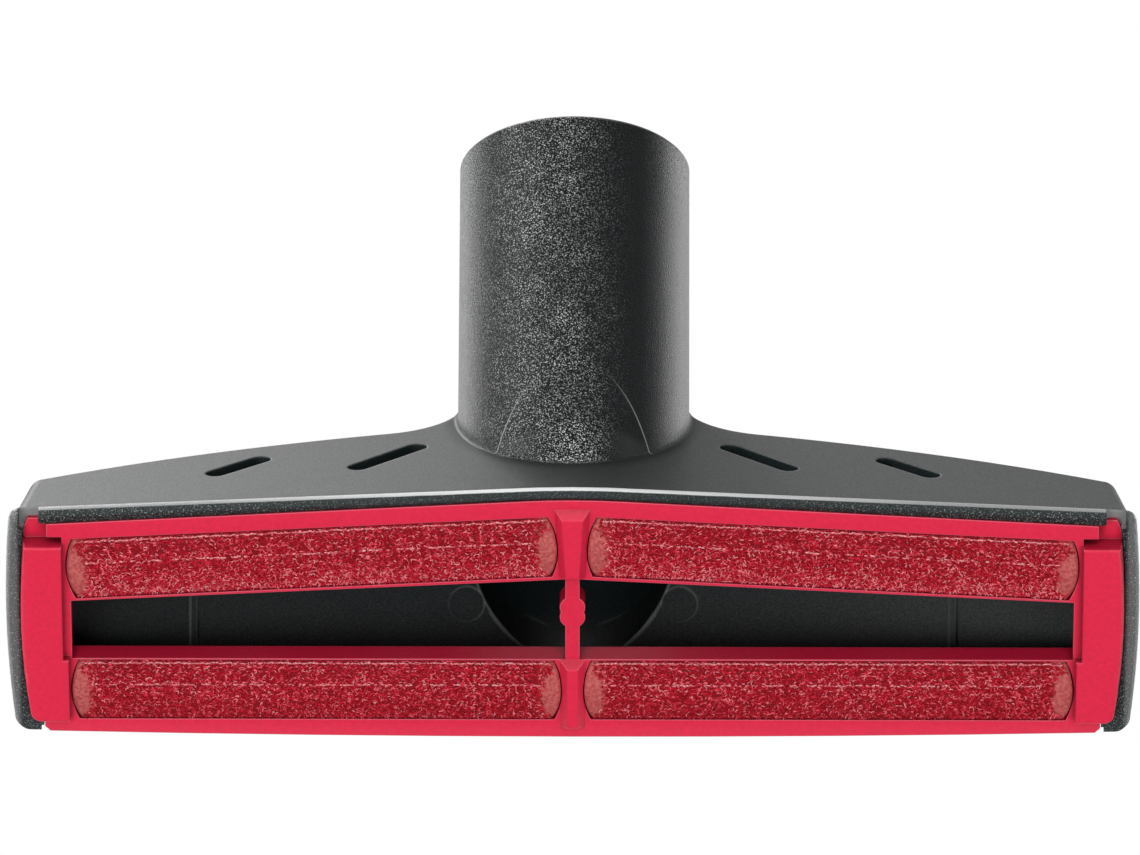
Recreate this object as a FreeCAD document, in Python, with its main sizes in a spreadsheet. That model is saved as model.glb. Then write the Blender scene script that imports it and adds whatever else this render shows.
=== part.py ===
import FreeCAD, Part
import math
import os

import Sketcher

# Vacuum upholstery nozzle in millimetres. Z points up, the skids of the sole
# stand on Z = 0, X runs along the width and the vented rear wall faces -Y.

doc = FreeCAD.newDocument("upholstery_nozzle")
sheet = doc.addObject("Spreadsheet::Sheet", "sizes")
Vector = FreeCAD.Vector
Rotation = FreeCAD.Rotation
Placement = FreeCAD.Placement

# Driving dimensions. Each becomes a cell of the sheet under its own alias
sizes = {
    # Tube neck, measured along its own axis from the pivot in the hood
    "tube_bore_radius": 17.5,
    "neck_wall": 2.1,
    "neck_lean": 30,
    "neck_pivot_y": -12,
    "neck_pivot_z": 41,
    "neck_length": 53,
    "tube_depth": 42,
    "tube_stop": 1.2,
    "bullet_start": -18,
    "bullet_end": -44,
    "bullet_tip_radius": 4.6,
    "rim_bevel": 0.5,
    "facet_radius": 22,
    "facet_tilt": 1.6,
    "facet_apex": 4,
    "neck_blend": 15,
    "crease_round": 0.8,

    # The row's origin stands under the middle of the overall depth
    "row_origin_y": -17.06,

    # Walls of the hood where they stand on the rim
    "wall_thickness": 2.2,
    "seat_level": 4.5,
    "wall_rear_half": 93.4,
    "wall_mid_half": 94.1,
    "wall_front_half": 93.0,
    "rear_center": 26.7,
    "rear_end": 22.2,
    "chevron_blend": 8,
    "front_center": 20.8,
    "front_end": 20.0,
    "rear_corner": 1.8,
    "front_corner": 2.0,
    "rear_lean": 15.7,
    "end_lean": 7.5,
    "wall_top_level": 82,

    # Roof of the hood, as sections across Y: place, height, fall to the ends, half width
    "roof_back_y": -38,
    "roof_back_height": 60,
    "roof_back_fall": 23.4,
    "roof_back_half": 90,
    "roof_ridge_y": -16,
    "roof_ridge_height": 42,
    "roof_ridge_fall": 21.2,
    "roof_ridge_half": 92.0,
    "roof_mid_y": 3,
    "roof_mid_height": 28.5,
    "roof_mid_fall": 12.9,
    "roof_mid_half": 93.8,
    "roof_front_y": 24,
    "roof_front_height": 8.5,
    "roof_front_fall": 1.5,
    "roof_front_half": 93.2,
    "shoulder_round": 4.2,
    "roof_side_flare": 6,
    "roof_thickness": 2.9,
    "throat_round": 1.0,

    # Ribs and ejector marks under the roof
    "rib_x": 64,
    "rib_thickness": 1.2,
    "rib_height": 1.6,
    "ejector_x": 18,
    "ejector_y": 7.5,
    "ejector_radius": 3,
    "ejector_depth": 0.25,

    # Rim bead that wraps the sole frame
    "bead_proud": 0.9,
    "bead_edge_proud": 0.2,
    "bead_bottom": 1.8,
    "bead_top": 4.9,
    "notch_outer": 92.5,
    "notch_width": 3.3,
    "notch_front": -20,
    "front_gap_half": 89.4,
    "front_gap_start": 19.1,

    # Vent slots, in the plane of the rear wall: distance out, height up the wall, tilt
    "vent_width": 3.8,
    "vent_inner_x": 31.6,
    "vent_inner_up": 22.5,
    "vent_inner_length": 17.6,
    "vent_inner_tilt": 47,
    "vent_outer_x": 56.7,
    "vent_outer_up": 20.6,
    "vent_outer_length": 13.6,
    "vent_outer_tilt": 44,

    # Sole frame, the red moulding
    "frame_clearance": 0.12,
    "lip_level": 1.6,
    "frame_rear_center": 26.4,
    "frame_rear_end": 21.2,
    "frame_rear_half": 88.2,
    "frame_end_rear": 91.7,
    "frame_end_mid": 92.4,
    "frame_end_front": 91.1,
    "frame_side_rear_y": -19.6,
    "frame_side_front_y": 15.6,
    "frame_corner": 1.8,
    "frame_step_half": 88.8,
    "frame_step_bevel": 0.9,
    "frame_front_end": 20.1,
    "frame_front_center": 21.1,
    "upstand_clearance": 0.2,
    "upstand_wall": 1.4,
    "upstand_top": 7.7,

    # Mouth, skids and centre blocks
    "mouth_half": 84,
    "mouth_rear_center": -10.5,
    "mouth_rear_end": -6.0,
    "mouth_front": 5.5,
    "mouth_lip_top": 5.5,
    "mouth_lip_wall": 1.2,
    "strut_half": 1.2,
    "bulge_half_width": 1.9,
    "bulge_half_length": 3.1,
    "bulge_y": -3.9,
    "skid_rear_y": -17.5,
    "skid_front_y": 17.4,
    "skid_inner_rear": 85.4,
    "skid_inner_front": 84.5,
    "skid_step_y": 5.0,
    "skid_recess_level": 3.6,
    "skid_recess_rear_y": -18.7,
    "upper_block_rear_y": -24.3,
    "upper_block_front_y": -11,
    "upper_block_rear_half": 3.0,
    "upper_block_front_half": 2.3,
    "upper_block_narrowing": 1.25,
    "lower_block_rear_y": 5.6,
    "lower_block_front_y": 18.9,
    "lower_block_half": 2.2,
    "lower_block_narrowing": 1.35,
    "block_draft": 1.1,

    # Lint strips
    "strip_back": 3.0,
    "strip_edge": 1.7,
    "strip_crown": 0.5,
    "strip_width": 11.6,
    "strip_straight": 79.6,
    "strip_end_bulge": 1.3,
    "strip_clearance": 0.15,
    "edge_round": 0.4,
    "rear_strip_x": 43.6,
    "rear_strip_y": -14.65,
    "rear_strip_tilt": 3.25,
    "front_strip_x": 43.0,
    "front_strip_y": 11.7,
}

for row, (name, value) in enumerate(sizes.items(), 1):
    sheet.set("A%d" % row, str(value))
    sheet.setAlias("A%d" % row, name)

doc.recompute()


def val(name):
    """Number held by one cell of the sheet."""
    return float(sheet.get(name))


def origin_plane(body, role):
    for feature in body.Origin.OriginFeatures:
        if feature.Role == role:
            return feature
    raise RuntimeError("no plane " + role)


def new_body(label):
    body = doc.addObject("PartDesign::Body", label)
    body.Label = label
    return body


def new_sketch(body, name, role="XY_Plane", offset="0"):
    """Sketch on an origin plane, moved along the plane's normal by an expression."""
    sketch = body.newObject("Sketcher::SketchObject", name)
    sketch.AttachmentSupport = (origin_plane(body, role), "")
    sketch.MapMode = "FlatFace"
    if offset != "0":
        sketch.setExpression("AttachmentOffset.Base.z", offset)
        doc.recompute()
    return sketch


def pin(sketch, geometry, end, x, y, tag):
    """Bind one end point of a sketch element to two expressions."""
    for kind, text, letter in (("DistanceX", x, "x"), ("DistanceY", y, "y")):
        number = float(sketch.evalExpression(text))
        index = sketch.addConstraint(
            Sketcher.Constraint(kind, -1, 1, geometry, end, number))
        label = "%s_%s" % (tag, letter)
        sketch.renameConstraint(index, label)
        sketch.setExpression("Constraints." + label, text)


def outline(sketch, corners, arcs=None, tag="p"):
    """Closed outline of expression pairs. arcs maps an edge number to its mid point."""
    arcs = arcs or {}
    numbers = [Vector(float(sketch.evalExpression(x)), float(sketch.evalExpression(y)), 0)
               for x, y in corners]
    count = len(corners)
    ends = []
    for i in range(count):
        start = numbers[i]
        stop = numbers[(i + 1) % count]
        if i in arcs:
            middle = Vector(float(sketch.evalExpression(arcs[i][0])),
                            float(sketch.evalExpression(arcs[i][1])), 0)
            element = sketch.addGeometry(Part.Arc(start, middle, stop))
            forward = sketch.getPoint(element, 1).distanceToPoint(start) < 1e-6
            ends.append((element, 1, 2) if forward else (element, 2, 1))
            point = sketch.addGeometry(Part.Point(middle), True)
            sketch.addConstraint(Sketcher.Constraint("PointOnObject", point, 1, element))
            pin(sketch, point, 1, arcs[i][0], arcs[i][1], "%sm%d" % (tag, i))
        else:
            element = sketch.addGeometry(Part.LineSegment(start, stop))
            ends.append((element, 1, 2))
    for i in range(count):
        here = ends[i]
        after = ends[(i + 1) % count]
        sketch.addConstraint(
            Sketcher.Constraint("Coincident", here[0], here[2], after[0], after[1]))
        pin(sketch, here[0], here[1], corners[i][0], corners[i][1], "%s%d" % (tag, i))


def circle(sketch, radius, x="0", y="0", tag="c"):
    """Circle whose radius and centre are bound to expressions."""
    center = Vector(float(sketch.evalExpression(x)), float(sketch.evalExpression(y)), 0)
    element = sketch.addGeometry(
        Part.Circle(center, Vector(0, 0, 1), float(sketch.evalExpression(radius))))
    index = sketch.addConstraint(
        Sketcher.Constraint("Radius", element, float(sketch.evalExpression(radius))))
    sketch.renameConstraint(index, tag + "_r")
    sketch.setExpression("Constraints.%s_r" % tag, radius)
    pin(sketch, element, 3, x, y, tag)


def loft(body, sketches, ruled=False):
    feature = body.newObject("PartDesign::AdditiveLoft", body.Name + "_loft")
    feature.Profile = sketches[0]
    feature.Sections = sketches[1:]
    feature.Ruled = ruled
    body.Tip = feature
    doc.recompute()
    return feature


def pad(body, sketch, length, up=True):
    feature = body.newObject("PartDesign::Pad", sketch.Name + "_pad")
    feature.Profile = sketch
    feature.Length = 1
    feature.setExpression("Length", length)
    feature.Reversed = not up
    body.Tip = feature
    doc.recompute()
    return feature


def mirrored(points):
    """Append the mirror image in X of an outline that starts and ends beside X = 0."""
    return points + [("-(%s)" % x, y) for x, y in reversed(points)]


def wall_plan(body, name, level, rear_in, end_in, inset, front_in="0"):
    """Plan outline of the hood's walls at one level, moved in by expressions."""
    corner_r = "(sizes.rear_corner)"
    corner_f = "(sizes.front_corner)"
    rear_half = "(sizes.wall_rear_half - (%s) - %s)" % (end_in, inset)
    mid_half = "(sizes.wall_mid_half - (%s) - %s)" % (end_in, inset)
    front_half = "(sizes.wall_front_half - (%s) - %s)" % (end_in, inset)
    rear_mid = "(sizes.rear_center - (%s) - %s)" % (rear_in, inset)
    rear_end = "(sizes.rear_end - (%s) - %s)" % (rear_in, inset)
    front_mid = "(sizes.front_center - (%s) - %s)" % (front_in, inset)
    front_end = "(sizes.front_end - (%s) - %s)" % (front_in, inset)
    slope = "((sizes.rear_center - sizes.rear_end) / sizes.wall_rear_half)"
    blend = "(sizes.chevron_blend)"
    right = [
        (blend, "-(%s - %s * %s)" % (rear_mid, slope, blend)),
        ("%s - %s" % (rear_half, corner_r), "-%s" % rear_end),
        (rear_half, "-(%s - %s)" % (rear_end, corner_r)),
        (front_half, "%s - %s" % (front_end, corner_f)),
        ("%s - %s" % (front_half, corner_f), front_end),
    ]
    corners = mirrored(right)
    bow = {
        1: ("%s - 0.293 * %s" % (rear_half, corner_r),
            "-(%s - 0.293 * %s)" % (rear_end, corner_r)),
        2: (mid_half, "(%s - %s - %s + %s) / 2" % (front_end, corner_f, rear_end, corner_r)),
        3: ("%s - 0.293 * %s" % (front_half, corner_f),
            "%s - 0.293 * %s" % (front_end, corner_f)),
        4: ("0", front_mid),
        9: ("0", "-(%s - 0.5 * %s * %s)" % (rear_mid, slope, blend)),
    }
    for right_edge, left_edge in ((1, 7), (2, 6), (3, 5)):
        x, y = bow[right_edge]
        bow[left_edge] = ("-(%s)" % x, y)
    sketch = new_sketch(body, name, "XY_Plane", level)
    outline(sketch, corners, bow)
    return sketch


def roof_section(body, name, place, lower, narrower):
    """Upright section of the roof across X, with round shoulders."""
    half = "(sizes.roof_%s_half - %s)" % (place, narrower)
    top = "(sizes.roof_%s_height - %s)" % (place, lower)
    end = "(sizes.roof_%s_height - sizes.roof_%s_fall - %s)" % (place, place, lower)
    corner = "(sizes.shoulder_round)"
    floor = "-6"
    foot = "(%s + sizes.roof_side_flare)" % half
    corners = [
        ("-%s" % foot, floor),
        (foot, floor),
        (half, "%s - 0.916 * %s" % (end, corner)),
        ("%s - 0.6 * %s" % (half, corner), end),
        ("-(%s - 0.6 * %s)" % (half, corner), end),
        ("-%s" % half, "%s - 0.916 * %s" % (end, corner)),
    ]
    shoulder_x = "%s - 0.163 * %s" % (half, corner)
    shoulder_z = "%s - 0.369 * %s" % (end, corner)
    bow = {
        2: (shoulder_x, shoulder_z),
        3: ("0", top),
        4: ("-(%s)" % shoulder_x, shoulder_z),
    }
    sketch = new_sketch(body, name, "XZ_Plane", "-sizes.roof_%s_y" % place)
    outline(sketch, corners, bow)
    return sketch


def wall_body(label, inset, top, bottom="sizes.seat_level"):
    """Leaning walls of the hood, lofted between a low and a high plan."""
    body = new_body(label)
    rise = "(%s - sizes.seat_level)" % top
    low = wall_plan(body, label + "_low", bottom, "0", "0", inset)
    high = wall_plan(body, label + "_high", top,
                     "%s * tan(sizes.rear_lean * 1deg)" % rise,
                     "%s * tan(sizes.end_lean * 1deg)" % rise, inset)
    loft(body, [low, high], ruled=True)
    return body


def roof_body(label, lower, narrower):
    body = new_body(label)
    sections = [roof_section(body, "%s_%s" % (label, place), place, lower, narrower)
                for place in ("back", "ridge", "mid", "front")]
    loft(body, sections)
    return body


def revolve(body, sketch):
    feature = body.newObject("PartDesign::Revolution", sketch.Name + "_turn")
    feature.Profile = sketch
    feature.ReferenceAxis = (sketch, ["V_Axis"])
    feature.Angle = 360
    body.Tip = feature
    doc.recompute()
    return feature


def lean_with_neck(feature):
    """Stand an object on the neck's pivot, with its Z axis along the neck."""
    feature.Placement = Placement(Vector(0, 0, 0), Rotation(Vector(1, 0, 0), val("neck_lean")))
    feature.setExpression("Placement.Rotation.Angle", "sizes.neck_lean")
    feature.setExpression("Placement.Base.y", "sizes.neck_pivot_y")
    feature.setExpression("Placement.Base.z", "sizes.neck_pivot_z")


def bullet_arc(radius, tip, end):
    """Mid point of the arc that leaves the neck's side smoothly and closes to the tip."""
    drop = "(%s - %s)" % (radius, tip)
    run = "(sizes.bullet_start - %s)" % end
    big = "((%s * %s + %s * %s) / (2 * %s))" % (drop, drop, run, run, drop)
    half_turn = "(asin(%s / %s) / 2)" % (run, big)
    return ("%s - %s + %s * cos(%s)" % (radius, big, big, half_turn),
            "sizes.bullet_start - %s * sin(%s)" % (big, half_turn))


def neck_body(label):
    """Outside of the tube neck and of the bullet-shaped swell at its foot."""
    body = new_body(label)
    sketch = new_sketch(body, label + "_profile", "YZ_Plane")
    radius = "(sizes.tube_bore_radius + sizes.neck_wall)"
    tip = "sizes.bullet_tip_radius"
    corners = [
        ("0", "sizes.neck_length"),
        ("0", "sizes.bullet_end"),
        (tip, "sizes.bullet_end"),
        (radius, "sizes.bullet_start"),
        (radius, "sizes.neck_length - sizes.rim_bevel"),
        ("%s - sizes.rim_bevel" % radius, "sizes.neck_length"),
    ]
    outline(sketch, corners, {2: bullet_arc(radius, tip, "sizes.bullet_end")})
    revolve(body, sketch)
    lean_with_neck(body)
    doc.recompute()
    return body


def neck_core(label):
    """Tube socket with its stop rib, and the duct inside the swell."""
    body = new_body(label)
    sketch = new_sketch(body, label + "_profile", "YZ_Plane")
    bore = "sizes.tube_bore_radius"
    tip = "(sizes.bullet_tip_radius - 1)"
    end = "(sizes.bullet_end + sizes.neck_wall)"
    open_end = "(sizes.neck_length + 2)"
    stop_top = "(sizes.neck_length - sizes.tube_depth)"
    stop_low = "(sizes.neck_length - sizes.tube_depth - 1.6)"
    corners = [
        ("0", open_end),
        ("0", end),
        (tip, end),
        (bore, "sizes.bullet_start"),
        (bore, stop_low),
        ("%s - sizes.tube_stop" % bore, stop_low),
        ("%s - sizes.tube_stop" % bore, stop_top),
        (bore, stop_top),
        (bore, open_end),
    ]
    outline(sketch, corners, {2: bullet_arc(bore, tip, end)})
    revolve(body, sketch)
    lean_with_neck(body)
    doc.recompute()
    return body


def boolean(kind, label, first, second):
    """Part boolean of two objects: Part::Cut, Part::Fuse or Part::Common."""
    feature = doc.addObject(kind, label)
    feature.Base = first
    feature.Tool = second
    doc.recompute()
    return feature


def merge(label, parts):
    feature = doc.addObject("Part::MultiFuse", label)
    feature.Shapes = parts
    doc.recompute()
    return feature


def box(label, x0, x1, y0, y1, z0, z1):
    """Box between pairs of expressions."""
    feature = doc.addObject("Part::Box", label)
    feature.setExpression("Length", "%s - (%s)" % (x1, x0))
    feature.setExpression("Width", "%s - (%s)" % (y1, y0))
    feature.setExpression("Height", "%s - (%s)" % (z1, z0))
    feature.setExpression("Placement.Base.x", x0)
    feature.setExpression("Placement.Base.y", y0)
    feature.setExpression("Placement.Base.z", z0)
    doc.recompute()
    return feature


def round_edges(label, base, radius, wanted):
    """Part::Fillet on the edges of base that wanted(edge, neighbour faces) picks."""
    picked = []
    for number, edge in enumerate(base.Shape.Edges, 1):
        faces = base.Shape.ancestorsOfType(edge, Part.Face)
        if wanted(edge, faces):
            picked.append((number, val(radius), val(radius)))
    feature = doc.addObject("Part::Fillet", label)
    feature.Base = base
    feature.Edges = picked
    doc.recompute()
    return feature


def kinds(faces):
    return [type(face.Surface).__name__ for face in faces]


def blend_edge(edge, faces):
    """Where the neck or its swell comes out of the free-form roof."""
    names = kinds(faces)
    turned = "Cylinder" in names or "SurfaceOfRevolution" in names
    return turned and "BSplineSurface" in names


def crease_edge(edge, faces):
    """Where the neck comes out of the rear wall."""
    first, last = edge.ParameterRange
    middle = edge.valueAt((first + last) / 2)
    names = kinds(faces)
    return ("Cylinder" in names and "BSplineSurface" in names
            and middle.z > val("seat_level") + 1 and middle.y < val("neck_pivot_y") + 8)


def plane_axes(side):
    """Base point and axes of one half of the rear wall: along, up and outward."""
    slope = (val("rear_center") - val("rear_end")) / val("wall_rear_half")
    along = Vector(1, side * slope, 0).normalize()
    lean = math.radians(val("rear_lean"))
    rise = Vector(0, math.sin(lean), math.cos(lean))
    outward = along.cross(rise).normalize()
    up = outward.cross(along).normalize()
    return Vector(0, -val("rear_center"), val("seat_level")), along, up, outward


def vent_tool(label, side, place):
    """Round-ended slot tool through the rear wall."""
    body = new_body(label)
    sketch = new_sketch(body, label + "_slot", "XY_Plane", "-3 * sizes.wall_thickness")
    reach = "(sizes.vent_%s_length / 2 - sizes.vent_width / 2)" % place
    half = "(sizes.vent_width / 2)"
    corners = [("-%s" % reach, "-%s" % half), (reach, "-%s" % half), (reach, half),
               ("-%s" % reach, half)]
    outline(sketch, corners, {1: ("%s + %s" % (reach, half), "0"),
                              3: ("-(%s + %s)" % (reach, half), "0")})
    pad(body, sketch, "4.5 * sizes.wall_thickness")
    base, along, up, outward = plane_axes(side)
    x = side * val("vent_%s_x" % place)
    center = base + along * x + up * val("vent_%s_up" % place)
    frame = FreeCAD.Matrix(along.x, up.x, outward.x, center.x,
                           along.y, up.y, outward.y, center.y,
                           along.z, up.z, outward.z, center.z, 0, 0, 0, 1)
    turn = Placement(Vector(), Rotation(Vector(0, 0, 1), -side * val("vent_%s_tilt" % place)))
    body.Placement = Placement(frame) * turn
    doc.recompute()
    return body


def ejector_mark(label, side):
    """Shallow disc sunk square to the underside of the roof."""
    x = side * val("ejector_x")
    y = val("ejector_y")
    above = Part.makeLine(Vector(x, y, val("seat_level")), Vector(x, y, 100))
    wall_top = above.common(cavity.Shape).BoundBox.ZMax
    here = Vector(x, y, wall_top)
    surface = min(cavity.Shape.Faces, key=lambda face: face.distToShape(Part.Vertex(here))[0])
    u, v = surface.Surface.parameter(here)
    normal = surface.normalAt(u, v)
    mark = doc.addObject("Part::Cylinder", label)
    mark.setExpression("Radius", "sizes.ejector_radius")
    mark.Height = 4
    mark.Placement = Placement(here + normal * (val("ejector_depth") - 4),
                               Rotation(Vector(0, 0, 1), normal))
    doc.recompute()
    return mark


def bead_body(label):
    """Barrel-shaped bead around the rim, proudest at half its height."""
    body = new_body(label)
    middle = "((sizes.bead_bottom + sizes.bead_top) / 2)"
    sketches = []
    for tag, level, proud in (("low", "sizes.bead_bottom", "sizes.bead_edge_proud"),
                              ("middle", middle, "sizes.bead_proud"),
                              ("high", "sizes.bead_top", "sizes.bead_edge_proud")):
        sketches.append(wall_plan(body, "%s_%s" % (label, tag), level, "0", "0",
                                  "-" + proud, proud))
    loft(body, sketches)
    return body


def frame_plan(body, name, level, grow):
    """Plan outline of the sole frame, grown by a clearance."""
    slope = "((sizes.frame_rear_center - sizes.frame_rear_end) / sizes.frame_rear_half)"
    blend = "sizes.chevron_blend"
    rear_mid = "(sizes.frame_rear_center + %s)" % grow
    rear_end = "(sizes.frame_rear_end + %s)" % grow
    corner = "sizes.frame_corner"
    side_front = "(sizes.frame_end_front + %s)" % grow
    step_x = "(sizes.frame_step_half + %s)" % grow
    step_y = "(sizes.frame_side_front_y + %s + %s)" % (corner, grow)
    front_y = "(sizes.frame_front_end + %s)" % grow
    right = [
        (blend, "-(%s - %s * %s)" % (rear_mid, slope, blend)),
        ("sizes.frame_rear_half", "-%s" % rear_end),
        ("sizes.frame_end_rear - 0.6 + %s" % grow, "-%s" % rear_end),
        ("sizes.frame_end_rear + %s" % grow, "sizes.frame_side_rear_y"),
        (side_front, "sizes.frame_side_front_y"),
        ("%s - %s" % (side_front, corner), step_y),
        (step_x, step_y),
        (step_x, "%s - sizes.frame_step_bevel" % front_y),
        ("%s - sizes.frame_step_bevel" % step_x, front_y),
    ]
    corners = mirrored(right)
    end_x = "sizes.frame_end_mid + %s" % grow
    round_x = "%s - 0.293 * %s" % (side_front, corner)
    round_y = "%s - 0.293 * %s" % (step_y, corner)
    bow = {
        3: (end_x, "-2"),
        13: ("-(%s)" % end_x, "-2"),
        4: (round_x, round_y),
        12: ("-(%s)" % round_x, round_y),
        8: ("0", "sizes.frame_front_center + %s" % grow),
        17: ("0", "-(%s - 0.5 * %s * %s)" % (rear_mid, slope, blend)),
    }
    sketch = new_sketch(body, name, "XY_Plane", level)
    outline(sketch, corners, bow)
    return sketch


hands = (("left", -1), ("right", 1))

# Housing: outside. The neck is blended into the roof with a wide round and into
# the rear wall with a small one, and the hood is what both blends have in common.
neck = neck_body("neck")
facet = doc.addObject("Part::Cylinder", "neck_facet")
facet.setExpression("Radius", "sizes.facet_radius")
facet.setExpression("Height", "3 * sizes.neck_length")
neck_radius = val("tube_bore_radius") + val("neck_wall")
neck_place = Placement(Vector(0, val("neck_pivot_y"), val("neck_pivot_z")),
                       Rotation(Vector(1, 0, 0), val("neck_lean")))
facet.Placement = (neck_place
                   * Placement(Vector(0, 0, val("facet_apex")), Rotation())
                   * Placement(Vector(), Rotation(Vector(1, 0, 0), val("facet_tilt")))
                   * Placement(Vector(0, val("facet_radius") - neck_radius,
                                      -1.5 * val("neck_length")), Rotation()))
doc.recompute()
tube = boolean("Part::Common", "tube", neck, facet)
roof = roof_body("roof", "0", "0")
blended = round_edges("blended_roof", boolean("Part::Fuse", "roof_and_tube", roof, tube),
                      "neck_blend", blend_edge)
walls = wall_body("walls", "0", "sizes.wall_top_level")
creased = round_edges("creased_walls", boolean("Part::Fuse", "walls_and_tube", walls, tube),
                      "crease_round", crease_edge)
hood = boolean("Part::Common", "hood", blended, creased)
bead = bead_body("bead")
pocket_body = new_body("frame_pocket")
pad(pocket_body, frame_plan(pocket_body, "frame_pocket_plan", "0", "sizes.frame_clearance"),
    "sizes.seat_level")
gap = box("front_gap", "-sizes.front_gap_half", "sizes.front_gap_half",
          "sizes.front_gap_start", "40", "0", "sizes.seat_level")
notch_inner = "sizes.notch_outer - sizes.notch_width"
notches = [box("notch_left", "-sizes.notch_outer", "-(%s)" % notch_inner, "-40",
               "sizes.notch_front", "0", "sizes.seat_level"),
           box("notch_right", notch_inner, "sizes.notch_outer", "-40",
               "sizes.notch_front", "0", "sizes.seat_level")]

# Housing: inside
core_walls = wall_body("core_walls", "sizes.wall_thickness", "sizes.wall_top_level")
core_roof = roof_body("core_roof", "sizes.roof_thickness", "sizes.wall_thickness")
cavity = boolean("Part::Common", "cavity", core_walls, core_roof)
duct = neck_core("duct")
hollow = round_edges("hollow", boolean("Part::Fuse", "cavity_and_duct", cavity, duct),
                     "throat_round", blend_edge)
rib_floor = roof_body("rib_floor", "(sizes.roof_thickness + sizes.rib_height)", "-5")
rib_boxes = merge("rib_boxes", [
    box("rib_" + hand, "%d * sizes.rib_x - sizes.rib_thickness / 2" % side,
        "%d * sizes.rib_x + sizes.rib_thickness / 2" % side, "-40", "40",
        "sizes.upstand_top + 0.5", "60") for hand, side in hands])
ribs = boolean("Part::Cut", "ribs", rib_boxes, rib_floor)
ribbed_hollow = boolean("Part::Cut", "ribbed_hollow", hollow, ribs)
marks = [ejector_mark("ejector_" + hand, side) for hand, side in hands]
vents = [vent_tool("vent_%s_%s" % (place, hand), side, place)
         for hand, side in hands for place in ("inner", "outer")]

outside = merge("housing_outside", [hood, bead])
removed = merge("housing_removed", [ribbed_hollow, pocket_body, gap] + notches + vents + marks)
housing = boolean("Part::Cut", "housing", outside, removed)


def pocket(body, sketch, through_all=True, depth="1", up=True):
    """Cut a sketch out of the body, towards +Z or -Z."""
    feature = body.newObject("PartDesign::Pocket", sketch.Name + "_cut")
    feature.Profile = sketch
    if through_all:
        feature.Type = "ThroughAll"
    else:
        feature.setExpression("Length", depth)
    feature.Reversed = up
    body.Tip = feature
    doc.recompute()
    return feature


def rectangle(sketch, x0, x1, y0, y1, tag="r"):
    outline(sketch, [(x0, y0), (x1, y0), (x1, y1), (x0, y1)], tag=tag)


def both_hands(x0, x1):
    """The same span of X on the right and, turned round, on the left."""
    return (("right", x0, x1), ("left", "-(%s)" % x1, "-(%s)" % x0))


def mouth_outline(sketch, grow, tag, side):
    """One half of the mouth, right or left of the strut, grown by an expression."""
    outer = "(sizes.mouth_half + %s)" % grow
    inner = "(sizes.strut_half - %s)" % grow
    rear_mid = "(sizes.mouth_rear_center - %s)" % grow
    rear_end = "(sizes.mouth_rear_end - %s)" % grow
    front = "(sizes.mouth_front + %s)" % grow
    points = [(inner, rear_mid), (outer, rear_end), (outer, front), (inner, front)]
    if side < 0:
        points = [("-%s" % x, y) for x, y in reversed(points)]
    outline(sketch, points, tag=tag)


def center_block(body, name, rear, front, rear_half, front_half, narrowing):
    """Drafted block between two strips, from the lips down to the skids' level."""
    sketches = []
    for level, tag, inset, draft in (("sizes.lip_level", "base", "0", "0"),
                                     ("0", "face", narrowing, "sizes.block_draft")):
        sketch = new_sketch(body, "%s_%s" % (name, tag), "XY_Plane", level)
        outline(sketch, [
            ("-(%s - %s)" % (rear_half, inset), "%s + %s" % (rear, draft)),
            ("%s - %s" % (rear_half, inset), "%s + %s" % (rear, draft)),
            ("%s - %s" % (front_half, inset), "%s - 0.4 * %s" % (front, draft)),
            ("-(%s - %s)" % (front_half, inset), "%s - 0.4 * %s" % (front, draft)),
        ])
        sketches.append(sketch)
    feature = body.newObject("PartDesign::AdditiveLoft", name)
    feature.Profile = sketches[0]
    feature.Sections = sketches[1:]
    feature.Ruled = True
    body.Tip = feature
    doc.recompute()


def strip_plan(body, name, level, grow):
    """Plan of one lint strip about its own middle, with gently round ends."""
    sketch = new_sketch(body, name, "XY_Plane", level)
    reach = "(sizes.strip_straight / 2 + %s)" % grow
    half = "(sizes.strip_width / 2 + %s)" % grow
    tip = "%s + sizes.strip_end_bulge" % reach
    outline(sketch,
            [("-%s" % reach, "-%s" % half), (reach, "-%s" % half),
             (reach, half), ("-%s" % reach, half)],
            {1: (tip, "0"), 3: ("-(%s)" % tip, "0")})
    return sketch


def place_strip(thing, place, side):
    """Put a strip, or the tool for its seat, into its place on the sole."""
    tilt = side * val("rear_strip_tilt") if place == "rear" else 0
    thing.Placement = Placement(
        Vector(side * val(place + "_strip_x"), val(place + "_strip_y"), 0),
        Rotation(Vector(0, 0, 1), tilt))
    doc.recompute()
    return thing


def strip_seat(label, place, side):
    body = new_body(label)
    sketch = strip_plan(body, label + "_plan", "-1", "sizes.strip_clearance")
    pad(body, sketch, "sizes.strip_back + 1")
    return place_strip(body, place, side)


def lint_strip(label, place, side):
    """Crowned pile strip: a plan outline met by a crowned bar."""
    plan = new_body(label + "_plan")
    sketch = strip_plan(plan, label + "_outline", "0.01", "0")
    pad(plan, sketch, "sizes.strip_back - 0.01")
    bar = new_body(label + "_bar")
    section = new_sketch(bar, label + "_section", "YZ_Plane", "-sizes.strip_straight")
    half = "(sizes.strip_width / 2)"
    outline(section,
            [("-%s" % half, "sizes.strip_edge"), (half, "sizes.strip_edge"),
             (half, "sizes.strip_back + 1"), ("-%s" % half, "sizes.strip_back + 1")],
            {0: ("0", "sizes.strip_crown")})
    pad(bar, section, "2 * sizes.strip_straight")
    strip = boolean("Part::Common", label, plan, bar)
    return place_strip(strip, place, side)


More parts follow.
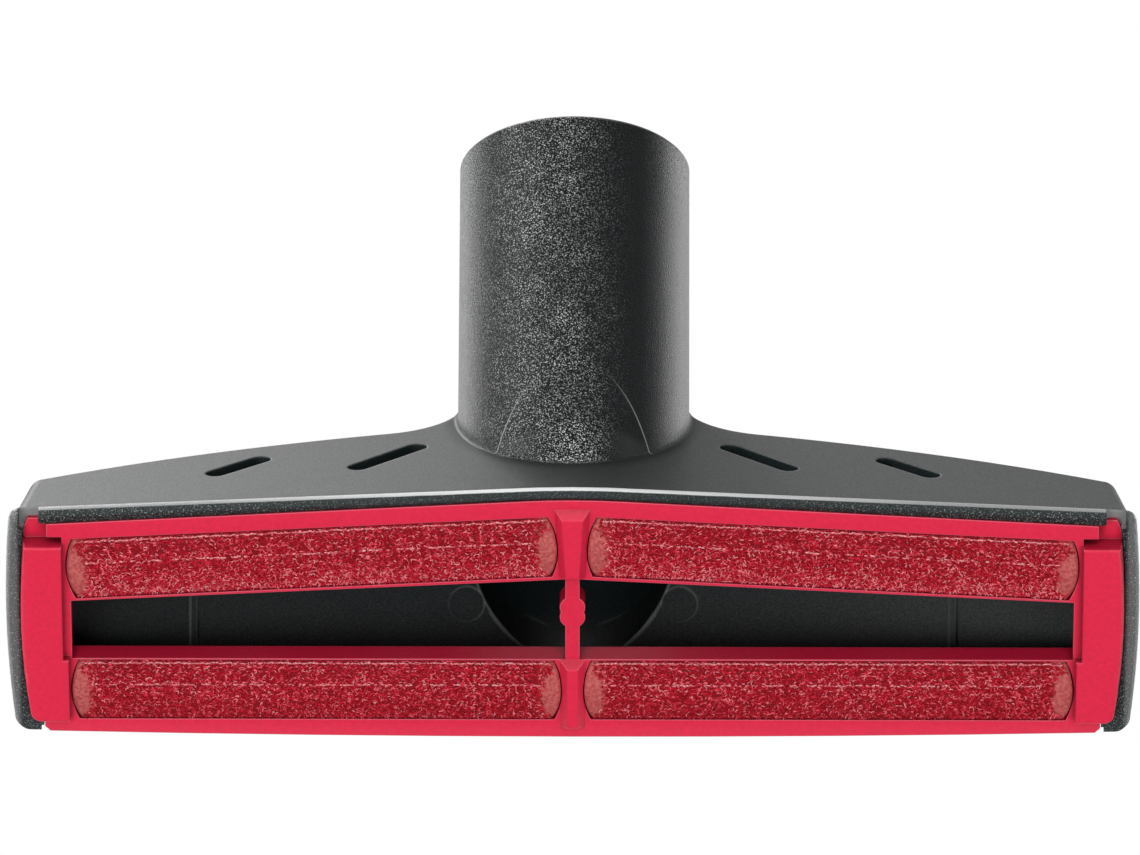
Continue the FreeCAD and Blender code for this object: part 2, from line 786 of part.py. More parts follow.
def frame_body(label):
    """Plate, skids, mouth, strut and centre blocks of the sole frame."""
    body = new_body(label)
    pad(body, frame_plan(body, "frame_plate", "sizes.lip_level", "0"),
        "sizes.seat_level - sizes.lip_level")

    lip = new_sketch(body, "mouth_lip", "XY_Plane", "sizes.lip_level")
    grow = "sizes.mouth_lip_wall"
    corners = [
        ("0", "sizes.mouth_rear_center - %s" % grow),
        ("sizes.mouth_half + %s" % grow, "sizes.mouth_rear_end - %s" % grow),
        ("sizes.mouth_half + %s" % grow, "sizes.mouth_front + %s" % grow),
        ("-(sizes.mouth_half + %s)" % grow, "sizes.mouth_front + %s" % grow),
        ("-(sizes.mouth_half + %s)" % grow, "sizes.mouth_rear_end - %s" % grow),
    ]
    outline(lip, corners)
    pad(body, lip, "sizes.mouth_lip_top - sizes.lip_level")

    skids = new_sketch(body, "skids", "XY_Plane")
    for side, tag in ((1, "r"), (-1, "l")):
        corner = "sizes.frame_corner"
        points = [
            ("sizes.skid_inner_rear", "sizes.skid_rear_y"),
            ("sizes.frame_end_rear", "sizes.skid_rear_y"),
            ("sizes.frame_end_front", "sizes.frame_side_front_y"),
            ("sizes.frame_end_front - %s" % corner, "sizes.skid_front_y"),
            ("sizes.skid_inner_front", "sizes.skid_front_y"),
            ("sizes.skid_inner_front", "sizes.skid_step_y"),
            ("sizes.skid_inner_rear", "sizes.skid_step_y"),
        ]
        bow = {1: ("sizes.frame_end_mid", "-2"),
               2: ("sizes.frame_end_front - 0.293 * %s" % corner,
                   "sizes.skid_front_y - 0.293 * %s" % corner)}
        if side < 0:
            points = [("-(%s)" % x, y) for x, y in points]
            bow = {edge: ("-(%s)" % x, y) for edge, (x, y) in bow.items()}
        outline(skids, points, bow, tag)
    pad(body, skids, "sizes.seat_level")

    mouth = new_sketch(body, "mouth", "XY_Plane", "0")
    mouth_outline(mouth, "0", "r", 1)
    mouth_outline(mouth, "0", "l", -1)
    pocket(body, mouth)

    recess = new_sketch(body, "skid_recess", "XY_Plane", "0")
    for hand, x0, x1 in both_hands("sizes.skid_inner_rear", "sizes.frame_end_mid + 1"):
        rectangle(recess, x0, x1, "sizes.skid_recess_rear_y", "sizes.skid_rear_y", hand)
    pocket(body, recess, False, "sizes.skid_recess_level")

    ledge = new_sketch(body, "corner_ledge", "XY_Plane", "0")
    for hand, x0, x1 in both_hands("sizes.frame_rear_half - 0.3", "sizes.frame_end_mid + 1"):
        rectangle(ledge, x0, x1, "-sizes.frame_rear_center", "sizes.skid_rear_y", hand)
    pocket(body, ledge, False, "sizes.skid_recess_level")

    bulge = new_sketch(body, "strut_bulge", "XY_Plane", "sizes.lip_level")
    width = "sizes.bulge_half_width"
    length = "sizes.bulge_half_length"
    outline(bulge,
            [("-%s" % width, "sizes.bulge_y"), (width, "sizes.bulge_y")],
            {0: ("0", "sizes.bulge_y - %s" % length),
             1: ("0", "sizes.bulge_y + %s" % length)})
    pad(body, bulge, "sizes.mouth_lip_top - sizes.lip_level")

    center_block(body, "upper_block", "sizes.upper_block_rear_y", "sizes.upper_block_front_y",
                 "sizes.upper_block_rear_half", "sizes.upper_block_front_half",
                 "sizes.upper_block_narrowing")
    center_block(body, "lower_block", "sizes.lower_block_rear_y", "sizes.lower_block_front_y",
                 "sizes.lower_block_half", "sizes.lower_block_half",
                 "sizes.lower_block_narrowing")
    return body


def skid_edge(edge, faces):
    """Outlines of the faces that slide on the fabric."""
    return edge.BoundBox.ZMax < 0.01


frame = round_edges("rounded_frame", frame_body("frame_base"), "edge_round", skid_edge)
upstand = boolean("Part::Cut", "upstand",
                  wall_body("upstand_outside",
                            "(sizes.wall_thickness + sizes.upstand_clearance)",
                            "sizes.upstand_top"),
                  wall_body("upstand_inside",
                            "(sizes.wall_thickness + sizes.upstand_clearance"
                            " + sizes.upstand_wall)", "sizes.upstand_top"))
places = [(place, hand, side) for place in ("rear", "front") for hand, side in hands]
seats = merge("strip_seats", [strip_seat("seat_%s_%s" % (place, hand), place, side)
                              for place, hand, side in places])
whole_frame = merge("whole_frame", [frame, upstand])
sole_frame = boolean("Part::Cut", "sole_frame", whole_frame, seats)
strips = [lint_strip("lint_strip_%s_%s" % (place, hand), place, side)
          for place, hand, side in places]

nodes = [housing, sole_frame] + strips
for node in nodes:
    node.Placement = Placement(Vector(0, -val("row_origin_y"), 0), Rotation()) * node.Placement
doc.recompute()
for thing in doc.Objects:
    if "Invalid" in thing.State or "Error" in thing.State:
        raise RuntimeError("failed: " + thing.Label)
for node in nodes:
    if node.Shape.isNull() or not node.Shape.isValid():
        raise RuntimeError("bad shape: " + node.Label)
    if len(node.Shape.Solids) != 1:
        raise RuntimeError("%s has %d solids" % (node.Label, len(node.Shape.Solids)))

os.makedirs("parts", exist_ok=True)
for node in nodes:
    node.Shape.exportStep("parts/%s.step" % node.Label)
    print(node.Label, round(node.Shape.Volume), node.Shape.BoundBox)
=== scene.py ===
import math

import bmesh
import bpy
from mathutils import Matrix, Quaternion, Vector


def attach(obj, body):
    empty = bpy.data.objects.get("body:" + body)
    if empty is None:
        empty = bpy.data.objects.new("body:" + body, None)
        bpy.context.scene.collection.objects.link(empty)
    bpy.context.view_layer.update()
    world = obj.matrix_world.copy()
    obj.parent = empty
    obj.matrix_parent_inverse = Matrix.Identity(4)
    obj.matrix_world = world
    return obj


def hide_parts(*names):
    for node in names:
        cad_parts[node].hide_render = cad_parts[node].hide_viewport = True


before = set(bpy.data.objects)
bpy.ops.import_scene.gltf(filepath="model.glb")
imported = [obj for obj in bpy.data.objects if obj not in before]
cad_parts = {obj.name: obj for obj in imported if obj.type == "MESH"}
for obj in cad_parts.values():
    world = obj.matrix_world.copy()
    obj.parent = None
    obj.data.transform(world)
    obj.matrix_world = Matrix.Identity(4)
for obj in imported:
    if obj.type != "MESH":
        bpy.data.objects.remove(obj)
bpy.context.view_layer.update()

bl_info = {
    "name": "Vacuum upholstery nozzle",
    "version": (1, 0, 0),
    "blender": (4, 5, 0),
    "location": "3D View > Sidebar > Nozzle",
    "description": "Finishes, lint strips and stage for a wide upholstery nozzle seen from its sole",
    "category": "Object",
}

MM = 0.001

# Kinds of node that are used often
MIX = "ShaderNodeMix"
NOISE = "ShaderNodeTexNoise"
RANDOM = "FunctionNodeRandomValue"
RANGE = "ShaderNodeMapRange"
SPLIT = "ShaderNodeSeparateXYZ"
VECTOR = "ShaderNodeCombineXYZ"
VECTOR_MATH = "ShaderNodeVectorMath"

# The tube neck, which the grain is measured from, in millimetres: a point on its axis, the ways
# up along it and out to its front, and its outer radius
NECK_PIVOT = (0.0, 5.06, 41.0)
NECK_AXIS = (0.0, -0.5, 0.8660254)
NECK_FRONT = (0.0, 0.8660254, 0.5)
NECK_RADIUS = 19.6

# The wider circle that flattens the neck's foot: its radius, how far its middle lies in front of
# the neck's axis at the pivot, and how that changes with each millimetre up the neck
ARCH_RADIUS = 22.0
ARCH_SHIFT = 2.66
ARCH_LEAN = -0.0437

# Further down the neck than this, only faces that look up belong to its outside
HOOD_ALONG = -14.0

# Faces under the roof look down by more than this
CAVITY_FACING = -0.2

# Heights on the housing above the skids, in millimetres: the bead's top and the groove over it
BEAD_TOP = 4.86
GROOVE_LEVEL = 5.1

# Where the rear bead ends at its notches, out from the middle in millimetres
NOTCH_X = 92.5

# Strips: name, middle x and y in millimetres, turn in degrees, how much paler the front half is
# painted as light (darker, as painted shade, if negative), seed
STRIPS = (
    ("rear_left", -43.6, 2.41, -3.25, 0.3, 11),
    ("rear_right", 43.6, 2.41, 3.25, 0.3, 23),
    ("front_left", -43.0, 28.76, 0.0, -0.1, 37),
    ("front_right", 43.0, 28.76, 0.0, -0.1, 41),
)

# A strip's body: its grid along and across, the share of the way out where its ends begin to
# round back, and how far they do
COLUMNS, ROWS = 96, 14
ROUND_FROM = 0.985
ROUND_BACK = 0.5 * MM

# The pile's diamonds: radians of their two slanting waves for each metre
WEAVE = 4.8 / MM

# Softboxes: name, place, width and height, watts and what each faces, in millimetres
LAMPS = (
    ("key_below_left", (-420, -330, -860), (520, 420), 4.4, (0, 10, 10)),
    ("front_fill", (60, -950, -380), (500, 260), 2.0, (0, 10, 10)),
    ("fill_below_right", (520, -120, -830), (420, 420), 2.5, (0, 10, 10)),
    ("wall_from_above", (-300, -160, 930), (420, 300), 3.5, (-30, 0, 20)),
    ("side_left", (-640, 290, 700), (320, 320), 3.0, (0, -5, 60)),
    ("side_right", (640, 250, 700), (320, 320), 3.0, (0, -5, 60)),
    ("glint_left", (-750, -520, 200), (300, 300), 5.0, (0, -5, 60)),
)

# What the camera looks at, in millimetres, and the width of its sensor
CAMERA_AIM = (-0.47, -13.39, 17.61)
SENSOR_WIDTH = 36.0

# The floor reaches this many metres each way, just under the skids
FLOOR_REACH = 2.0
FLOOR_LEVEL = -0.3 * MM


def linear(hex_colour):
    """An sRGB hex colour as the linear red, green, blue and alpha that Blender keeps."""
    parts = [int(hex_colour[i:i + 2], 16) / 255 for i in (1, 3, 5)]
    return tuple(c / 12.92 if c <= 0.04045 else ((c + 0.055) / 1.055) ** 2.4
                 for c in parts) + (1.0,)


def add(tree, kind, inputs=(), stops=(), **settings):
    """Adds a node with its settings. A kind in capitals is an operation of the Math node. Inputs
    come in order, or by name or number. Each is a value, a socket, a node whose first output is
    meant, or a list of nodes that share one socket. A colour ramp has stops, from first to last,
    each a place and a hex colour."""
    made = tree.nodes.new("ShaderNodeMath" if kind.isupper() else kind)
    if kind.isupper():
        made.operation = kind
    for key, value in settings.items():
        setattr(made, key, value)
    for index, (at, colour) in enumerate(stops):
        elements = made.color_ramp.elements
        element = elements[index] if index < 2 else elements.new(at)
        element.position, element.color = at, linear(colour)
    for key, value in inputs.items() if isinstance(inputs, dict) else enumerate(inputs):
        for source in value if isinstance(value, list) else [value]:
            if isinstance(source, bpy.types.Node):
                source = source.outputs[0]
            if isinstance(source, bpy.types.NodeSocket):
                tree.links.new(source, made.inputs[key])
            else:
                made.inputs[key].default_value = source
    return made


def new_material(name):
    """A material with an empty node tree."""
    material = bpy.data.materials.new(name)
    material.use_nodes = True
    material.node_tree.nodes.clear()
    return material, material.node_tree


def finished(material, inputs):
    """Ends the material's tree in a shader with these inputs."""
    shader = add(material.node_tree, "ShaderNodeBsdfPrincipled", inputs)
    add(material.node_tree, "ShaderNodeOutputMaterial", {"Surface": shader})
    return material


def in_millimetres(tree):
    """Each point's Object coordinates in millimetres."""
    place = add(tree, "ShaderNodeTexCoord").outputs["Object"]
    return add(tree, "ShaderNodeMapping", {"Vector": place, "Scale": (1000, 1000, 1000)})


def neck_frame(tree, place):
    """Each point as seen from the tube socket, in millimetres: its distance from the axis, its
    place along the axis, and how far it lies to the right and towards the front."""
    away = add(tree, VECTOR_MATH, (place, NECK_PIVOT), operation="SUBTRACT")
    along = add(tree, VECTOR_MATH, (away, NECK_AXIS), operation="DOT_PRODUCT").outputs["Value"]
    front = add(tree, VECTOR_MATH, (away, NECK_FRONT), operation="DOT_PRODUCT").outputs["Value"]
    right = add(tree, SPLIT, (away,)).outputs["X"]
    flat = add(tree, VECTOR, (right, front))
    distance = add(tree, VECTOR_MATH, (flat,), operation="LENGTH").outputs["Value"]
    return distance, along, right, front


def arch_line(tree, along, front):
    """One on the two thin lines where the flattened foot of the neck runs out into its round
    side: the meeting of the neck's circle with a wider one that leans by a few degrees."""
    shift = add(tree, "MULTIPLY_ADD", (along, ARCH_LEAN, ARCH_SHIFT))
    squares = add(tree, "MULTIPLY_ADD", (shift, shift, NECK_RADIUS ** 2 - ARCH_RADIUS ** 2))
    meeting = add(tree, "DIVIDE", (squares, add(tree, "MULTIPLY", (shift, 2.0))))
    near = add(tree, "ABSOLUTE", (add(tree, "SUBTRACT", (front, meeting)),))
    return add(tree, "MULTIPLY", (add(tree, RANGE, (near, 0.1, 0.03)),
                                  add(tree, RANGE, (along, 4.0, -4.0))))


def black_abs(finish):
    """Injection moulded black ABS. The coarse eroded grain of the neck and the rim glints where a
    peak faces a lamp and is nearly black beside it. Pale painted highlights are added on the rear
    left of the neck and its foot, its arch lines, the bead, edges and the duct's lip, and painted
    shade darkens the groove over the bead. The walls are finer, and dull grey when seen at a flat
    angle."""
    material, tree = new_material("black_grained_abs")
    place = in_millimetres(tree)
    distance, along, right, front = neck_frame(tree, place)
    aside = add(tree, "ABSOLUTE", (right,))
    spot = add(tree, SPLIT, (place,)).outputs
    depth, height = spot["Y"], spot["Z"]
    face = add(tree, "ShaderNodeNewGeometry").outputs["Normal"]
    facing = add(tree, SPLIT, (face,)).outputs

    # Zones. Under the roof the faces look down, and the duct is narrower than the neck
    upper = add(tree, "MAXIMUM", (add(tree, "GREATER_THAN", (along, HOOD_ALONG)),
                                  add(tree, "GREATER_THAN", (facing["Z"], 0.0))))
    wide = add(tree, "GREATER_THAN", (distance, NECK_RADIUS - 1.0))
    outside = add(tree, "MULTIPLY", (upper, wide))
    on_neck = add(tree, RANGE, (distance, NECK_RADIUS + 0.7, NECK_RADIUS + 0.1))
    on_neck = add(tree, "MULTIPLY", (on_neck, outside))
    # The dull skin of the neck runs out over the foot that joins it to the hood
    foot_skin = add(tree, RANGE, (distance, NECK_RADIUS + 3.0, NECK_RADIUS))
    foot_skin = add(tree, "MULTIPLY", (foot_skin, outside))
    on_rim = add(tree, "LESS_THAN", (height, BEAD_TOP))
    coarse_zone = add(tree, "MAXIMUM", (on_neck, on_rim))

    # Peaks of a coarse eroded texture are about 0.1 mm apart, and are drawn at 0.25 mm to show.
    # Those of the walls are finer still, and are drawn at 0.3 mm and a third as high
    coarse = add(tree, NOISE, {"Vector": place, "Scale": 1 / 0.25, "Detail": 2.0,
                               "Roughness": 0.6})
    fine = add(tree, NOISE, {"Vector": place, "Scale": 1 / 0.3, "Detail": 2.0, "Roughness": 0.5})
    grain = add(tree, MIX, {0: coarse_zone, 2: fine, 3: coarse})
    edges = add(tree, "ShaderNodeBevel", {"Radius": 0.5 * MM}, samples=6)
    strength = add(tree, RANGE, (coarse_zone, 0.0, 1.0, 0.3, 1.0))
    bump = add(tree, "ShaderNodeBump", {"Strength": strength, "Distance": 0.12 * MM,
                                        "Height": grain, "Normal": edges})

    # On the rear left of the neck, in patches of about 5 mm, the peaks are glossier than the pits
    # and painted paler: a painted glint, besides the real gloss
    painted_highlight = add(tree, RANGE, (right, -17.0, -9.0))
    patches = add(tree, NOISE, {"Vector": place, "Scale": 1 / 5.0, "Detail": 2.0})
    for share in (add(tree, "POWER", (add(tree, RANGE, (right, 12.0, 0.0)), 2.0)),
                  add(tree, RANGE, (patches, 0.35, 0.65, 0.65, 1.25)), 0.7):
        painted_highlight = add(tree, "MULTIPLY", (painted_highlight, share))
    # The middle of its foot gets the same painted glint and gloss
    foot = add(tree, "MULTIPLY", (add(tree, RANGE, (aside, 7.0, 1.0)),
                                  add(tree, RANGE, (along, -4.0, -10.0))))
    painted_highlight = add(tree, "MULTIPLY_ADD", (foot, 0.8, painted_highlight))
    at_rear = add(tree, "MULTIPLY", (on_neck, add(tree, RANGE, (front, 0.0, -4.0))))
    painted_highlight = add(tree, "MULTIPLY", (painted_highlight, at_rear))
    polish_and_painted_glint = add(tree, "MULTIPLY", (add(tree, RANGE, (coarse, 0.53, 0.68)), painted_highlight))
    # The arch lines and the glinting peaks are painted pale: painted highlights on the neck
    line = add(tree, "MULTIPLY", (arch_line(tree, along, front), on_neck))
    neck_pale = add(tree, "MAXIMUM", (polish_and_painted_glint, add(tree, "MULTIPLY", (line, 0.45))))
    neck_pale = add(tree, "MULTIPLY", (neck_pale, 0.75))

    # A pale painted highlight along the top of the rear bead is brightest mid way
    top = add(tree, RANGE, (height, 2.8, 3.0))
    for share in (add(tree, RANGE, (aside, 60.0, 0.0, 0.35, 1.0)),
                  add(tree, "LESS_THAN", (depth, 0.0)), add(tree, "LESS_THAN", (aside, NOTCH_X))):
        top = add(tree, "MULTIPLY", (top, share))
    # Peaks of the bead carry painted glints, more so towards the ends, painted grey as sheen
    ends = add(tree, RANGE, (aside, NOTCH_X, NOTCH_X + 0.7, 0.005, 0.13))
    specks = add(tree, RANGE, (aside, 20.0, 80.0, 0.12, 0.35))
    highlight_share = add(tree, "MULTIPLY_ADD", (add(tree, RANGE, (coarse, 0.58, 0.68)), specks, ends))
    rim_pale = add(tree, "MULTIPLY", (add(tree, "MAXIMUM", (top, highlight_share)), on_rim))

    # Edges of vents, ribs, marks and the duct's mouth are painted a little paler: painted highlight
    turned = add(tree, VECTOR_MATH, (edges, face), operation="DOT_PRODUCT").outputs["Value"]
    edge_pale = add(tree, "MULTIPLY", (add(tree, RANGE, (turned, 0.995, 0.88, 0.0, 0.1)),
                                       add(tree, "GREATER_THAN", (height, 5.2))))

    # The duct's lip turns from the roof into its side walls; its outer turn has a painted highlight
    below = add(tree, "LESS_THAN", (facing["Z"], CAVITY_FACING))
    sideways = add(tree, "ABSOLUTE", (facing["X"],))
    lip = add(tree, RANGE, (sideways, 0.2, 0.42))
    for share in (add(tree, RANGE, (sideways, 0.72, 0.5)), add(tree, RANGE, (aside, 26.0, 22.0)),
                  below, add(tree, RANGE, (depth, 0.0, 16.0, 0.03, 0.17)),
                  add(tree, RANGE, (height, 27.0, 25.5))):
        lip = add(tree, "MULTIPLY", (lip, share))
    # Each pale mark above is a painted highlight, mixed towards pale grey
    pale = neck_pale
    for other in (rim_pale, edge_pale, lip):
        pale = add(tree, "MAXIMUM", (pale, other))

    # The black of the cavity is a little greener than the outside
    black = tuple(finish.black_colour) + (1.0,)
    inside = add(tree, "MULTIPLY", (below, add(tree, "SUBTRACT", (1.0, foot_skin))))
    base = add(tree, MIX, {0: inside, 6: black, 7: linear("#0B1819")}, data_type="RGBA")
    colour = add(tree, MIX, {0: pale, 6: base.outputs[2], 7: linear("#E2E4E3")},
                 data_type="RGBA")

    # The fine grain of the walls shows as a faint mottle in their sheen
    mottle = add(tree, RANGE, (fine, 0.35, 0.65, 0.22, 0.42))
    sheen = add(tree, MIX, {0: foot_skin, 2: mottle, 3: 0.09})
    gloss = add(tree, "MULTIPLY_ADD", (polish_and_painted_glint, 0.5, sheen))
    # The wall's sheen drops to a tenth in a line over the bead: painted shade of the groove
    groove = add(tree, "ABSOLUTE", (add(tree, "SUBTRACT", (height, GROOVE_LEVEL)),))
    gloss = add(tree, "MULTIPLY", (gloss, add(tree, RANGE, (groove, 0.15, 0.4, 0.1, 1.0))))
    return finished(material, {
        "Base Color": colour.outputs[2], "Normal": bump, "Specular IOR Level": gloss,
        "Roughness": add(tree, RANGE, (coarse_zone, 0.0, 1.0, 0.5, 0.3)), "IOR": 1.53})


def red_plastic(finish):
    """Injection moulded red polypropylene from a satin tool: an even sheen, with painted
    highlights along the edges, painted shade in the corners and on upright faces, and hardly any
    texture."""
    material, tree = new_material("red_moulded_polypropylene")
    place = in_millimetres(tree)
    # The satin of the tool is finer than 0.1 mm. It is drawn at 0.35 mm to show, and the uneven
    # sheen of the melt at 0.9 mm
    mottle = add(tree, NOISE, {"Vector": place, "Scale": 1 / 0.9, "Detail": 3.0})
    # Ambient occlusion darkens the colour in corners: painted shade
    corners = add(tree, "ShaderNodeAmbientOcclusion", {"Distance": 1.6 * MM}, samples=8,
                  only_local=True).outputs["AO"]
    # Upright faces between the rails see only red; they are painted a deeper red than the sole as
    # painted shade, with less sheen
    face = add(tree, "ShaderNodeNewGeometry").outputs["Normal"]
    upright = add(tree, "ABSOLUTE", (add(tree, SPLIT, (face,)).outputs["Z"],))
    upright = add(tree, RANGE, (upright, 0.2, 0.7, 0.6, 1.0))
    tone_and_painted_shade = add(tree, RANGE, (mottle, 0.3, 0.7, 0.94, 1.06))
    for share in (add(tree, RANGE, (corners, 0.3, 0.95, 0.42, 1.03)), upright):
        tone_and_painted_shade = add(tree, "MULTIPLY", (tone_and_painted_shade, share))
    colour = add(tree, VECTOR_MATH, {0: tuple(finish.red_colour), "Scale": tone_and_painted_shade},
                 operation="SCALE")
    # Edges are mixed towards pale pink where the bevelled normal turns, away from corners: a painted
    # highlight
    edges = add(tree, "ShaderNodeBevel", {"Radius": 0.35 * MM}, samples=6)
    turned = add(tree, VECTOR_MATH, (edges, face), operation="DOT_PRODUCT").outputs["Value"]
    highlight_share = add(tree, "MULTIPLY", (add(tree, RANGE, (turned, 0.99, 0.85, 0.0, 0.5)),
                                    add(tree, RANGE, (corners, 0.8, 1.0))))
    painted_highlight = add(tree, MIX, {0: highlight_share, 6: colour, 7: linear("#F08C9C")}, data_type="RGBA")
    skin = add(tree, NOISE, {"Vector": place, "Scale": 1 / 0.35, "Detail": 2.0})
    bump = add(tree, "ShaderNodeBump", {"Strength": 0.18, "Distance": 0.03 * MM, "Height": skin,
                                        "Normal": edges})
    return finished(material, {
        "Base Color": painted_highlight.outputs[2], "Normal": bump, "Roughness": 0.38, "IOR": 1.49,
        "Specular IOR Level": add(tree, "MULTIPLY", (upright, 0.5))})


def nylon_pile():
    """Crimson nylon lint pile: short curled fibres, each with its own tint from dark crimson to
    pink.
    The pink end is a painted highlight, where a fibre would catch the light."""
    material, tree = new_material("crimson_nylon_pile")
    tint = add(tree, "ShaderNodeAttribute", attribute_name="fibre_tint",
               attribute_type="GEOMETRY").outputs["Fac"]
    # Pink at the top of the ramp is painted highlight
    ramp = add(tree, "ShaderNodeValToRGB", (tint,), stops=(
        (0.0, "#960618"), (0.3, "#BE0E26"), (0.6, "#D82A40"), (0.85, "#E85E6C"), (1.0, "#F08C92")))
    return finished(material, {
        "Base Color": ramp, "Roughness": 0.6, "Specular IOR Level": 0.15, "IOR": 1.53,
        "Sheen Weight": 0.1, "Sheen Tint": linear("#F0808C")})


def woven_backing():
    """Dark red woven polyester ground that shows between the fibres."""
    material, tree = new_material("red_woven_backing")
    # Twenty radians of this wave fit in 0.9 mm, so its threads lie 0.28 mm apart
    weave = add(tree, "ShaderNodeTexWave", {"Vector": in_millimetres(tree), "Scale": 1 / 0.9,
                                            "Distortion": 1.2, "Detail": 1.0}, bands_direction="X")
    ramp = add(tree, "ShaderNodeValToRGB", (weave.outputs[1],),
               stops=((0.0, "#600614"), (1.0, "#920C24")))
    return finished(material, {"Base Color": ramp, "Roughness": 0.75})


def sealed_end():
    """The ends of the strip, hot cut and sealed: matt pinkish brown, bare of pile, with blotches
    of molten fibre about 0.5 mm wide."""
    material, tree = new_material("sealed_strip_end")
    mottle = add(tree, NOISE, {"Vector": in_millimetres(tree), "Scale": 1 / 0.5, "Detail": 4.0})
    ramp = add(tree, "ShaderNodeValToRGB", (mottle,), stops=((0.3, "#A02E37"), (0.72, "#C86862")))
    bump = add(tree, "ShaderNodeBump", {"Strength": 0.3, "Distance": 0.1 * MM, "Height": mottle})
    return finished(material, {"Base Color": ramp, "Normal": bump, "Roughness": 0.6})


def edge_thread():
    """Twisted polyester thread that binds the strip: pale pink and slightly bright, with a twist
    about 0.6 mm long."""
    material, tree = new_material("pink_binding_thread")
    twist = add(tree, NOISE, {"Vector": in_millimetres(tree), "Scale": 1 / 0.6, "Detail": 2.0})
    ramp = add(tree, "ShaderNodeValToRGB", (twist,), stops=((0.35, "#C23A4C"), (0.65, "#F2A0A2")))
    return finished(material, {"Base Color": ramp, "Roughness": 0.55})


def linked(name, data):
    """A new object with this data, in the scene."""
    made = bpy.data.objects.new(name, data)
    bpy.context.scene.collection.objects.link(made)
    return made


def strip_backing(name, sizes, centre, turn):
    """The strip's body: a crowned bar with bulged ends, its face down, in place in the row frame.
    Its end faces take the second material."""
    half_width = sizes.width / 2
    bare_from = sizes.straight / 2 - sizes.bare_end
    mesh = bmesh.new()

    def bow(across):
        return 1 - (across / half_width) ** 2

    def face_level(across, share):
        crown = sizes.edge_level + (sizes.crown_level - sizes.edge_level) * bow(across)
        rounding = max(0.0, abs(share) - ROUND_FROM) / (1 - ROUND_FROM)
        return crown + ROUND_BACK * rounding ** 2

    def layer(level):
        grid = []
        for i in range(COLUMNS + 1):
            share = math.sin((i / COLUMNS - 0.5) * math.pi)
            line = []
            for j in range(ROWS + 1):
                across = -half_width + sizes.width * j / ROWS
                along = share * (sizes.straight / 2 + sizes.end_bulge * bow(across))
                line.append(mesh.verts.new((along, across, level(across, share))))
            grid.append(line)
        return grid

    def quad(*corners):
        made = mesh.faces.new(corners)
        made.smooth = True
        made.material_index = 1 if abs(made.calc_center_median().x) > bare_from else 0

    face = layer(face_level)
    back = layer(lambda across, share: sizes.back_level)
    for i in range(COLUMNS):
        for j in range(ROWS):
            quad(face[i][j], face[i][j + 1], face[i + 1][j + 1], face[i + 1][j])
            quad(back[i][j], back[i + 1][j], back[i + 1][j + 1], back[i][j + 1])
        quad(face[i][0], face[i + 1][0], back[i + 1][0], back[i][0])
        quad(face[i][ROWS], back[i][ROWS], back[i + 1][ROWS], face[i + 1][ROWS])
    for j in range(ROWS):
        quad(face[0][j], back[0][j], back[0][j + 1], face[0][j + 1])
        quad(face[COLUMNS][j], face[COLUMNS][j + 1], back[COLUMNS][j + 1], back[COLUMNS][j])
    bmesh.ops.recalc_face_normals(mesh, faces=mesh.faces)
    mesh.transform(Matrix.Translation(centre) @ Matrix.Rotation(turn, 4, "Z"))
    data = bpy.data.meshes.new(name)
    mesh.to_mesh(data)
    mesh.free()
    return linked(name, data)


